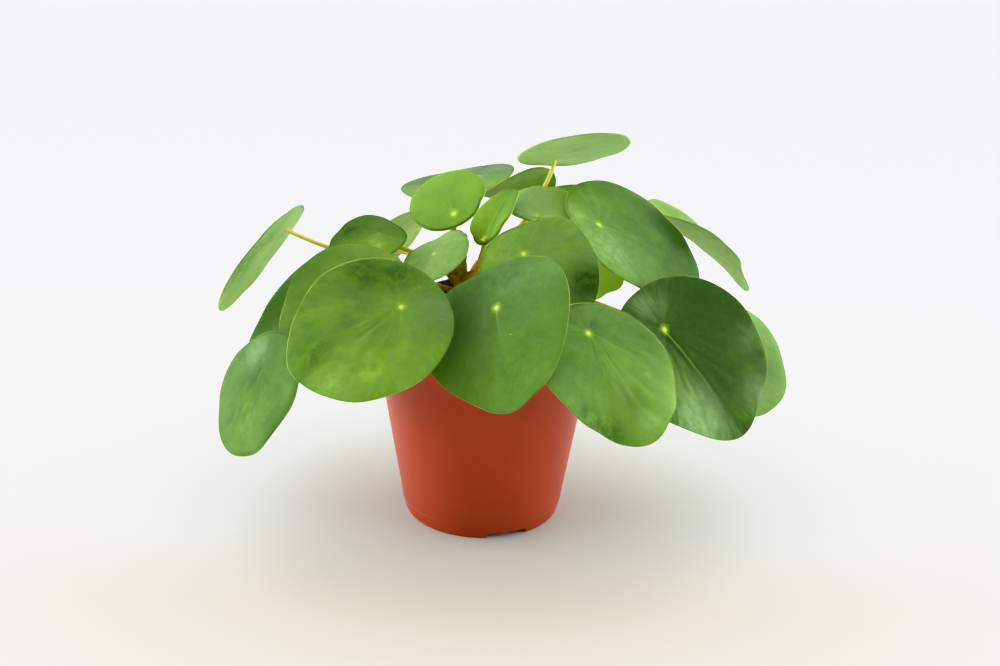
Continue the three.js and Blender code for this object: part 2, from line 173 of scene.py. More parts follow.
class Nodes:
    """A short way to write a node tree."""

    def __init__(self, name, kind=bpy.data.materials, shader="Principled BSDF"):
        self.owner = kind.new(name)
        self.owner.use_nodes = True
        self.tree = self.owner.node_tree
        self.shader = self.tree.nodes[shader]

    def new(self, kind, **settings):
        node = self.tree.nodes.new("ShaderNode" + kind)
        for key, value in settings.items():
            setattr(node, key, value)
        return node

    def put(self, socket, value):
        """Link a value or a node's output to a socket, or set a plain number or colour."""
        if isinstance(value, Value):
            value = value.socket
        if isinstance(value, bpy.types.NodeSocket):
            self.tree.links.new(value, socket)
        elif value is not None:
            socket.default_value = value

    def attribute(self, name):
        return Value(self, self.new("Attribute", attribute_name=name).outputs["Fac"])

    def place(self, stretch=(1, 1, 1)):
        mapping = self.new("Mapping")
        mapping.inputs["Scale"].default_value = stretch
        self.put(mapping.inputs["Vector"], self.new("TexCoord").outputs["Object"])
        return mapping.outputs["Vector"]

    def axes(self, vector):
        node = self.new("SeparateXYZ")
        self.put(node.inputs[0], vector)
        return [Value(self, socket) for socket in node.outputs]

    def noise(self, scale, detail=3.0, rough=0.55, stretch=(1, 1, 1), at=None):
        node = self.new("TexNoise")
        self.put(node.inputs["Vector"], self.place(stretch) if at is None else at)
        for key, number in (("Scale", scale), ("Detail", detail), ("Roughness", rough)):
            node.inputs[key].default_value = number
        return Value(self, node.outputs["Fac"])

    def sum(self, operation, a, b=None, clamp=False):
        node = self.new("Math", operation=operation, use_clamp=clamp)
        self.put(node.inputs[0], a)
        self.put(node.inputs[1], b)
        return Value(self, node.outputs[0])

    def rise(self, value, low, high, to_low=0.0, to_high=1.0):
        """A smooth step from one number to another while the value goes from low to high."""
        node = self.new("MapRange", interpolation_type="SMOOTHSTEP")
        for key, number in (("From Min", low), ("From Max", high), ("To Min", to_low), ("To Max", to_high)):
            node.inputs[key].default_value = number
        self.put(node.inputs["Value"], value)
        return Value(self, node.outputs["Result"])

    def fade(self, value, low, high, start=1.0):
        """The same smooth step, but downward to nought."""
        return self.rise(value, low, high, start, 0.0)

    def ramp(self, value, *stops):
        node = self.new("ValToRGB")
        elements = node.color_ramp.elements
        while len(elements) < len(stops):
            elements.new(0.5)
        for element, (position, colour) in zip(elements, stops):
            element.position = position
            element.color = (*colour, 1)
        self.put(node.inputs["Fac"], value)
        return node.outputs["Color"]

    def mix(self, factor, a, b, blend="MIX"):
        node = self.new("Mix", data_type="RGBA", blend_type=blend)
        self.put(node.inputs[0], factor)
        self.put(node.inputs[6], (*a, 1) if isinstance(a, tuple) else a)
        self.put(node.inputs[7], (*b, 1) if isinstance(b, tuple) else b)
        return node.outputs[2]

    def bump(self, height, strength, distance):
        node = self.new("Bump")
        node.inputs["Strength"].default_value = strength
        node.inputs["Distance"].default_value = distance
        self.put(node.inputs["Height"], height)
        return node.outputs["Normal"]

    def finish(self, **sockets):
        for key, value in sockets.items():
            self.put(self.shader.inputs[key.replace("_", " ")], value)
        return self.owner


# %% [markdown]
# Floor and light
#
# The plant stands on a white table in a bright white room. Light comes from
# above, from both sides and from behind, and the viewer's side is the dark one:
# that is why the round pot is deep orange in its middle and pale at its edges.
#
# A sky that is brighter in some directions does nearly all of this, and its
# shadows are as soft as in the photograph. Its brightest parts are two low bands
# at the sides, which reach the pot under the leaves. One large area light
# overhead gives the leaves a little more shape.

# %% Floor
FLOOR_HALF = 9.0
floor_mesh = bpy.data.meshes.new("table_top")
corners = [(-1, -1), (1, -1), (1, 1), (-1, 1)]
floor_mesh.from_pydata([(x * FLOOR_HALF, y * FLOOR_HALF, 0) for x, y in corners], [], [(0, 1, 2, 3)])
floor = shown("table_top", floor_mesh)

# %% Lights and world
lamp_data = bpy.data.lights.new("overhead", "AREA")
lamp_data.size = 1.6
lamp_data.energy = 2
lamp_data.color = (0.97, 0.99, 1.0)
lamp = bpy.data.objects.new("overhead", lamp_data)
lamp.location = (-0.25, 0.35, 1.8)
lamp.rotation_mode = "QUATERNION"
lamp.rotation_quaternion = (Vector((0, 0, 0.1)) - lamp.location).to_track_quat("-Z", "Y")
bpy.context.scene.collection.objects.link(lamp)

# How bright the parts of the sky are, and between which heights its low part ends
ROOM, SIDES = (1.35, 1.36, 1.40), (2.9, 2.9, 2.9)
LOW_SIDES, VIEWER_SIDE = (19.0, 19.0, 19.0), (0.08, 0.08, 0.08)
LOW_BAND = (0.30, 0.85)


def room_light():
    n = Nodes("white_room", bpy.data.worlds, "Background")
    x, y, z = n.axes(n.new("TexCoord").outputs["Generated"])
    low = n.fade(z, *LOW_BAND)
    tone = n.mix(n.rise(abs(x), 0.45, 0.95) * low, ROOM, SIDES)
    low_side = n.rise(abs(x), 0.70, 0.97) * n.fade(z, 0.05, 0.35)
    tone = n.mix(low_side * n.rise(x, -0.3, 0.3, 1.0, 0.65), tone, LOW_SIDES)
    return n.finish(Color=n.mix(n.rise(y, -0.2, -0.8) * low, tone, VIEWER_SIDE))


bpy.context.scene.world = room_light()
bpy.context.scene.view_settings.view_transform = "Khronos PBR Neutral"

# %% [markdown]
# The table top
#
# A white surface is never one white. Here it is cool at the back and warmer in front. Near the pot a
# grey-green painted shadow stands for the plant's shade, and in front of the pot a warm, darker tint is
# painted shadow together with painted orange light that the pot throws back. Each tint is mixed in by a
# smooth step over the distance from the pot or over the depth.

# %% Floor material
FAR_WHITE, NEAR_WHITE = (0.862, 0.872, 0.892), (0.835, 0.815, 0.790)
PAINTED_SHADOW_TINT, PAINTED_BOUNCE_AND_SHADOW = (0.68, 0.71, 0.70), (0.645, 0.592, 0.505)


def table_finish():
    n = Nodes("table_white")
    x, y, _ = n.axes(n.place())
    out = n.sum("SQRT", x * x + y * y)
    tone = n.mix(n.rise(y, 0.9, -0.35), FAR_WHITE, NEAR_WHITE)
    # Painted shadow: grey-green near the pot, where the plant shades the table.
    tone = n.mix(n.fade(out, 0.05, 0.30, 0.8), tone, PAINTED_SHADOW_TINT)
    # Painted shadow and painted orange light thrown back by the pot, in front of it.
    bounce_and_shadow = n.rise(y, -0.02, -0.12) * n.rise(out, 0.08, 0.36, 1.0, 0.1)
    return n.finish(Base_Color=n.mix(bounce_and_shadow, tone, PAINTED_BOUNCE_AND_SHADOW), Roughness=0.7)


floor_mesh.materials.append(table_finish())

# %% [markdown]
# The pot
#
# Nursery pots are moulded from thin polypropylene. The wall leans out, a rolled
# rim stiffens the mouth, and near the foot there is a fine moulded line. Three
# notches in the foot ring and small round holes let water out.
#
# A turned body is one outline spun round an axis, with arcs where the plastic is
# round. A Boolean modifier then cuts the notches and the holes. Each drill is
# turned by half a side, since a corner of it that lies exactly on an edge of the
# pot would leave a faulty edge behind.

# %% Pot sizes
POT_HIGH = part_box("pot")[1]
POT = Sizes(height=POT_HIGH.z, rim=POT_HIGH.x, wall=1.2 * MM, lip=1.3 * MM, lip_height=4.5 * MM,
            step=7.9 * MM, bead=0.15 * MM, foot_curve=0.9 * MM, segments=144)
FLARE = 0.1685  # how far the wall leans out for each millimetre of height
BASE = Sizes(disc=22 * MM, inner=24 * MM, outer=34 * MM, ring=36 * MM, rise=3 * MM)
NOTCHES = Sizes(bearings=(20, 140, 260), width=21.5 * MM, height=3.1 * MM, inner=33 * MM)
DRAINS = Sizes(number=6, radius=3.2 * MM, ring=29 * MM, sides=20, drill=9 * MM)
WALL_RADIUS = POT.rim - POT.lip - FLARE * POT.height
print("pot height and rim radius:", round(POT.height, 4), round(POT.rim, 4))


# %% Pot outline
def wall_radius(z):
    """Outer radius of the wall at a height."""
    drawn_in = max(0.0, 1 - z / POT.step)
    return WALL_RADIUS + FLARE * z - POT.foot_curve * drawn_in**2


def arc(centre, radius, start, end, steps=5):
    """Points on a round stretch of an outline, angles in degrees."""
    turns = np.radians(np.linspace(start, end, steps))
    return [(centre[0] + radius * math.cos(t), centre[1] + radius * math.sin(t)) for t in turns]


def pot_outline():
    """Half a cross-section: from the axis under the floor, up, over the rim and back."""
    top, wall, lip, lip_height = POT.height, POT.wall, POT.lip, POT.lip_height
    low = top - lip_height
    under = [(0, 0), (BASE.disc, 0), (BASE.inner, BASE.rise), (BASE.outer, BASE.rise), (BASE.ring, 0)]
    outside = arc((wall_radius(0) - 0.6 * MM, 0.6 * MM), 0.6 * MM, -90, -8)
    outside += [(wall_radius(z), z) for z in np.linspace(1.2 * MM, POT.step - 0.5 * MM, 6)]
    outside += arc((wall_radius(POT.step), POT.step), POT.bead, -60, 60)
    outside += [(wall_radius(z), z) for z in np.linspace(POT.step + 0.5 * MM, low - 0.6 * MM, 14)]
    rim = [(wall_radius(low) + 0.15 * MM, low), (POT.rim - 0.35 * MM, low + lip)]
    rim += arc((POT.rim - 0.5 * MM, low + lip + 0.5 * MM), 0.5 * MM, -50, 0)
    rim += arc((POT.rim - 0.9 * MM, top - 0.9 * MM), 0.9 * MM, 0, 90, 7)
    rim += arc((wall_radius(top) - wall + 0.5 * MM, top - 0.5 * MM), 0.5 * MM, 90, 180, 5)
    inside = [(wall_radius(z) - wall, z) for z in np.linspace(top - 3 * MM, POT.step, 10)]
    floor_up = BASE.rise + wall
    inside += [(wall_radius(0) - wall, wall), (BASE.ring + wall, wall)]
    inside += [(BASE.outer, floor_up), (BASE.inner, floor_up), (BASE.disc, wall), (0, wall)]
    return under + outside + rim + inside


def spun(name, outline, segments):
    """Spin an outline that starts and ends on the axis into a closed body."""
    shape = bmesh.new()
    ring = [shape.verts.new((r, 0, z)) for r, z in outline]
    edges = [shape.edges.new(pair) for pair in zip(ring, ring[1:])]
    geometry = ring + edges
    bmesh.ops.spin(shape, geom=geometry, axis=(0, 0, 1), cent=(0, 0, 0), steps=segments, angle=math.tau)
    bmesh.ops.remove_doubles(shape, verts=shape.verts, dist=1e-6)
    bmesh.ops.recalc_face_normals(shape, faces=shape.faces)
    mesh = bpy.data.meshes.new(name)
    shape.to_mesh(mesh)
    shape.free()
    return shown(name, mesh)


# %% Pot body
def cut(piece, cutter):
    """Take a cutter's shape out of a piece, then remove the cutter."""
    modifier = piece.modifiers.new("cut", "BOOLEAN")
    modifier.object = cutter
    modifier.solver = "EXACT"
    depsgraph = bpy.context.evaluated_depsgraph_get()
    mesh = bpy.data.meshes.new_from_object(piece.evaluated_get(depsgraph))
    piece.modifiers.clear()
    piece.data = mesh
    bpy.data.objects.remove(cutter)


def block(low, high, turn):
    """A box between two corners, turned about the pot's axis."""
    corner = [(x, y, z) for x in (low[0], high[0]) for y in (low[1], high[1]) for z in (low[2], high[2])]
    faces = [(0, 1, 3, 2), (4, 6, 7, 5), (0, 4, 5, 1), (2, 3, 7, 6), (0, 2, 6, 4), (1, 5, 7, 3)]
    spin = Matrix.Rotation(turn, 4, "Z")
    return solid("cutter", [spin @ Vector(c) for c in corner], faces, smooth=False)


pot = spun("nursery_pot", pot_outline(), POT.segments)
for bearing in NOTCHES.bearings:
    half = NOTCHES.width / 2
    low = (NOTCHES.inner, -half, -NOTCHES.height)
    high = (wall_radius(0) + POT.wall, half, NOTCHES.height)
    cut(pot, block(low, high, math.radians(bearing - 90)))
for i in range(DRAINS.number):
    turn = i / DRAINS.number * math.tau
    sides = DRAINS.sides
    radius, depth = DRAINS.radius, DRAINS.drill
    hole = spun("cutter", [(0, 0), (radius, 0), (radius, depth), (0, depth)], sides)
    hole.data.transform(Matrix.Rotation(math.pi / sides, 4, "Z"))
    hole.data.transform(Matrix.Rotation(turn, 4, "Z") @ Matrix.Translation((DRAINS.ring, 0, -MM)))
    cut(pot, hole)
pot.data.shade_smooth()
pot.data.set_sharp_from_angle(angle=SHARP)
print("pot:", len(pot.data.polygons), "faces")


# %% [markdown]
# Terracotta-coloured plastic
#
# The plastic is satin, not glossy: it mirrors the white room as broad soft bands. Fine upright flow lines
# from the mould and a slightly mottled colour keep it from looking like paint. The colour is also painted
# paler towards the rim, as painted light, where the pot gets most light. The bump is tiny, a few hundredths
# of a millimetre.

# %% Pot material
def pot_finish():
    n = Nodes("terracotta_plastic")
    flow = n.noise(900, 2.0, 0.5, (1, 1, 0.02))
    cloud = n.noise(28, 4.0, 0.6)
    grain = n.noise(2600, 2.0, 0.5)
    tone = n.ramp(cloud, (0.3, (0.285, 0.035, 0.011)), (0.7, (0.325, 0.042, 0.014)))
    tone = n.mix(flow * 0.08, tone, (0.50, 0.12, 0.05))
    # Painted light: the colour is multiplied up with height, paler towards the rim.
    _, _, height = n.axes(n.place())
    tone = n.mix(1.0, tone, height * 3.5 + 0.93, "MULTIPLY")
    normal = n.bump(flow * 0.6 + grain * 0.4, 0.25, 0.00006)
    rough = n.rise(cloud, 0.3, 0.7, 0.40, 0.48)
    return n.finish(Base_Color=tone, Roughness=rough, Normal=normal, IOR=1.49)


hand_over(pot, pot_finish(), "pot")

# %% [markdown]
# The potting mix
#
# Peat-based mix is nearly black when damp, and crumbly. A bump map alone can't
# roughen its silhouette. So the surface is a displaced disc, and several hundred
# small lumps lie on it, all in one mesh.

# %% Soil surface
POT_WALL_INSIDE = 0.3 * MM
SOIL = Sizes(bottom=4.5 * MM, edge=104.5 * MM, crown=5 * MM, mound=(-18 * MM, 46 * MM),
             mound_height=4.5 * MM, mound_spread=13 * MM, lump=0.8 * MM, pitch=(22 * MM, 28 * MM))
SOIL_RADIUS = wall_radius(SOIL.edge) - POT.wall - POT_WALL_INSIDE


def hump(distance, width):
    """A soft bump: 1 at no distance and almost nought past twice the width."""
    return np.exp(-((distance / width) ** 2))


def soil_height(x, y):
    """The soil's height: a low crown, a mound at the back and soft lumps."""
    out = min(1.0, math.hypot(x, y) / SOIL_RADIUS)
    mound = SOIL.mound_height * hump(math.dist((x, y), SOIL.mound), SOIL.mound_spread)
    along_x = math.sin(math.tau * x / SOIL.pitch[0] + 0.6)
    along_y = math.sin(math.tau * y / SOIL.pitch[1] - 0.4)
    lump = SOIL.lump * along_x * along_y * (1 - out**4)
    return SOIL.edge + SOIL.crown * (1 - out**2) + mound + lump


def crumbled(x, y):
    """The soil's height with its crumbs, which fade at the wall."""
    place = Vector((x, y, 0)) / (3.2 * MM)
    rough = noise.fractal(place, 0.9, 2.1, 4)
    fade = 1 - min(1.0, math.hypot(x, y) / SOIL_RADIUS) ** 12
    return soil_height(x, y) + 0.55 * MM * rough * fade


def around(radius, sectors):
    """Places on a circle about the pot's axis."""
    turns = [k / sectors * math.tau for k in range(sectors)]
    return [(radius * math.cos(turn), radius * math.sin(turn)) for turn in turns]


def soil_body(rings=44, sectors=144):
    """Closed body: the crumbled top, the side against the pot and the bottom."""
    points = [(0, 0, crumbled(0, 0))]
    for i in range(1, rings + 1):
        points += [(x, y, crumbled(x, y)) for x, y in around(SOIL_RADIUS * i / rings, sectors)]
    low_radius = wall_radius(POT.step) - POT.wall - POT_WALL_INSIDE
    points += [(x, y, POT.step) for x, y in around(low_radius, sectors)]
    points += [(x, y, SOIL.bottom) for x, y in around(wall_radius(0) - POT.wall, sectors)]
    points.append((0, 0, SOIL.bottom))
    return points, closed_net(rings + 2, sectors)


# %% Soil crumbs
CRUMBS = 760
CRUMB_SIZES = (0.5, 0.6, 0.8, 1.0, 1.3, 1.8)  # millimetres


def crumb(chance, centre, size, long):
    """An irregular lump about a centre, as points and triangles."""
    ball = bmesh.new()
    bmesh.ops.create_icosphere(ball, subdivisions=2 if size > 1.1 * MM else 1, radius=1)
    spin = Matrix.Rotation(chance.uniform(0, math.tau), 3, "Z")
    turn = spin @ Matrix.Rotation(chance.uniform(-0.5, 0.5), 3, "X")
    drift = Vector([chance.uniform(0, 90) for _ in range(3)])
    points = []
    for v in ball.verts:
        swell = 1 + 0.38 * noise.noise(v.co * 1.6 + drift)
        local = Vector((v.co.x * long, v.co.y, v.co.z * 0.72)) * swell * size
        points.append(tuple(turn @ local + centre))
    faces = [tuple(v.index for v in f.verts) for f in ball.faces]
    ball.free()
    return points, faces


def make_soil():
    chance = random.Random(7)
    points, faces = soil_body()
    for _ in range(CRUMBS):
        size = chance.choice(CRUMB_SIZES) * MM
        reach = (SOIL_RADIUS - 2.2 * size) * math.sqrt(chance.random())
        turn = chance.uniform(0, math.tau)
        x, y = reach * math.cos(turn), reach * math.sin(turn)
        centre = Vector((x, y, crumbled(x, y) + 0.25 * size))
        more, triangles = crumb(chance, centre, size, chance.choice((1.0, 1.2, 1.7)))
        faces += [tuple(i + len(points) for i in t) for t in triangles]
        points += more
    return solid("potting_soil", points, faces)


soil = make_soil()
print("soil:", len(soil.data.polygons), "faces")


# %% [markdown]
# Damp peat
#
# Wet peat drinks up nearly all light. Two noises, one as wide as a crumb and one
# as fine as a fibre, keep the dark brown alive and roughen the crumbs.

# %% Soil material
def soil_finish():
    n = Nodes("damp_peat")
    clumps = n.noise(260, 4.0, 0.65)
    fine = n.noise(1500, 3.0, 0.6)
    tone = n.ramp(clumps, (0.35, (0.006, 0.005, 0.004)), (0.7, (0.028, 0.020, 0.014)))
    tone = n.mix(n.rise(fine, 0.55, 0.8, 0, 0.5), tone, (0.060, 0.040, 0.026))
    normal = n.bump(clumps + fine * 0.5, 0.8, 0.0005)
    return n.finish(Base_Color=tone, Roughness=0.92, Normal=normal)


hand_over(soil, soil_finish(), "soil")

# %% [markdown]
# The trunk
#
# An old Pilea drops its lower leaves and is left with a bare woody trunk, with a
# scar for each leaf. The trunk is a tube along a smooth curve, and its radius
# changes along the curve to make a swollen ring at each scar.

# %% Curves and tubes
TRUNK_PATH = [(-9, 0, 91), (-9, 0, 104), (-11.8, 0, 120), (-13.8, 1, 137), (-13, 1, 154)]
TRUNK = Sizes(root=4.6 * MM, top=3.3 * MM, steps=120, sides=28)


def smooth_path(path, steps):
    """Points on a smooth curve through the given ones, evenly spaced along it."""
    knots = [Vector(p) * MM for p in path]
    knots = [2 * knots[0] - knots[1], *knots, 2 * knots[-1] - knots[-2]]
    fine = []
    for a, b, c, d in zip(knots, knots[1:], knots[2:], knots[3:]):
        for t in np.linspace(0, 1, 40, endpoint=False):
            pull = (2 * a - 5 * b + 4 * c - d) * t * t + (3 * b - a - 3 * c + d) * t**3
            fine.append(b + ((c - a) * t + pull) / 2)
    fine.append(knots[-2])
    return even(fine, steps)


def even(points, steps):
    """The same line with evenly spaced points."""
    line = np.array([tuple(p) for p in points])
    run = np.concatenate([[0], np.cumsum(np.linalg.norm(np.diff(line, axis=0), axis=1))])
    wanted = np.linspace(0, run[-1], steps + 1)
    return [Vector([np.interp(w, run, line[:, axis]) for axis in range(3)]) for w in wanted]


def tube(path, radius_at, sides, shape_at=None):
    """Points and faces of a closed tube. shape_at may push a point in or out."""
    along = [(b - a).normalized() for a, b in zip(path, path[1:])]
    along.append(along[-1])
    across = along[0].orthogonal().normalized()
    points = [tuple(path[0])]
    for i, (middle, way) in enumerate(zip(path, along)):
        across = (across - way * across.dot(way)).normalized()
        upright = way.cross(across)
        part = i / (len(path) - 1)
        for k in range(sides):
            turn = k / sides * math.tau
            radius = radius_at(part) * (shape_at(part, turn) if shape_at else 1)
            outward = across * math.cos(turn) + upright * math.sin(turn)
            points.append(tuple(middle + outward * radius))
    points.append(tuple(path[-1]))
    return points, closed_net(len(path), sides)


def part_way(steps, sides):
    """How far along its tube each point lies, from 0 at the root to 1 at the tip."""
    return [0.0] + [i / steps for i in range(steps + 1) for _ in range(sides)] + [1.0]


# %% Trunk body
TRUNK_LINE = smooth_path(TRUNK_PATH, TRUNK.steps)
SCARS = [0.22, 0.29, 0.36, 0.44, 0.50, 0.57, 0.65, 0.72, 0.79, 0.87, 0.93]


def trunk_taper(part):
    return TRUNK.root + (TRUNK.top - TRUNK.root) * part


def trunk_at(height):
    """Middle and radius of the trunk where it is nearest to a height in metres."""
    nearest = min(range(len(TRUNK_LINE)), key=lambda i: abs(TRUNK_LINE[i].z - height))
    return TRUNK_LINE[nearest], trunk_taper(nearest / TRUNK.steps)


def trunk_radius(part):
    """The taper, with a rounded end over the last stretch."""
    rounded = math.sqrt(max(0.0, 1 - max(0.0, (part - 0.965) / 0.035) ** 2))
    return trunk_taper(part) * max(rounded, 0.05)


def scarred(part, turn):
    """Swollen on one side at each leaf scar, drawn in just above it."""
    shape = 1.0
    for i, scar in enumerate(SCARS):
        side = 0.5 + 0.5 * math.cos(turn - i * 2.4)
        shape += side * (0.16 * hump(part - scar, 0.016) - 0.07 * hump(part - scar - 0.022, 0.010))
    return shape + 0.05 * noise.noise(Vector((math.cos(turn), math.sin(turn), part * 14)) * 2.2)


trunk_points, trunk_faces = tube(TRUNK_LINE, trunk_radius, TRUNK.sides, scarred)
trunk = solid("woody_trunk", trunk_points, trunk_faces)
paint(trunk, "part", part_way(TRUNK.steps, TRUNK.sides))
print("trunk:", len(trunk.data.polygons), "faces,", len(SCARS), "scars")


# %% [markdown]
# Bark
#
# The trunk is brown and corky at the foot and still green near its growing tip.
# The number stored along the tube runs through a colour ramp, a little ragged.

# %% Trunk material
def trunk_finish():
    n = Nodes("woody_bark")
    part = n.attribute("part")
    fibres = n.noise(700, 3.0, 0.6, (1, 1, 0.25))
    patches = n.noise(170, 3.0, 0.6)
    level = part + (patches * 0.3 - 0.15)
    tone = n.ramp(level, (0.15, (0.070, 0.032, 0.014)), (0.38, (0.36, 0.12, 0.030)),
                  (0.58, (0.30, 0.19, 0.032)), (0.85, (0.25, 0.31, 0.045)))
    tone = n.mix(n.rise(fibres, 0.45, 0.75, 0, 0.5), tone, (0.085, 0.045, 0.016))
    return n.finish(Base_Color=tone, Roughness=0.72, Normal=n.bump(fibres + patches, 0.7, 0.0003))


hand_over(trunk, trunk_finish(), "trunk")

# %% [markdown]
# The leaves: one formula, many leaves
#
# A Pilea leaf is an almost round shield. The stalk meets it from below, near
# the middle but nearer the back edge, and every leaf tips away from the plant.
# One formula makes every blade from a row of values. Nine of them stand in each
# row: where the stalk meets the blade (at), the bearing and height it faces, the
# turn of its tip, its length and width (size), where the stalk sits along it
# (seat), how it arches, droops and twists (bend), where and how the stalk leaves
# the trunk (root), how far the stalk keeps its first and last directions (pull),
# and the look. The construction model used the same rows, so each fine blade
# lies on its coarse one. Only the tip of leaf 17 is sharper here.
#
# Named values do the rest. swell lists where the outline stands out or draws in,
# in degrees round from the tip and in millimetres, because no real leaf is a
# perfect round. crease folds the blade along its midrib, wave ripples its rim,
# curl rolls a stretch of it under, nip bends the tip down, lean turns the midrib
# and girth thickens the stalk.
#
# look holds the leaf's age from 0, young and yellow-green, to 1, deep green, then its pale wax and painted
# sheen, how clear its midrib is and how puckered it is. The sheen is painted reflection of the bright room,
# and below nought the same number paints light shining through the leaf. drift says towards which side the
# green is painted deeper, as painted shade, dot how bright the dot over the stalk is, and spots lists soft
# patches: place along and aside, reach, then how much deeper green and how much more wax and sheen. Some
# spots are painted shadows of neighbouring leaves and stalks.

# %% Leaf rows
USUAL = dict(crease=0.0, wave=(0, 0), drift=(0, 0), girth=1.0, nip=(99, 0), curl=(0, 1, 0), lean=0.0)
USUAL.update(dot=1.0, spots=())


def leaf(at, faces, turn, size, seat, bend, root, pull, look, **more):
    """One leaf, lengths in millimetres and angles in degrees."""
    named = dict(at=at, faces=faces, turn=turn, size=size, seat=seat, root=root, pull=pull)
    named.update(zip(("arch", "droop", "twist"), bend))
    named.update(zip(("age", "bloom", "rib", "pucker"), look))
    return Sizes(**(USUAL | named | more))


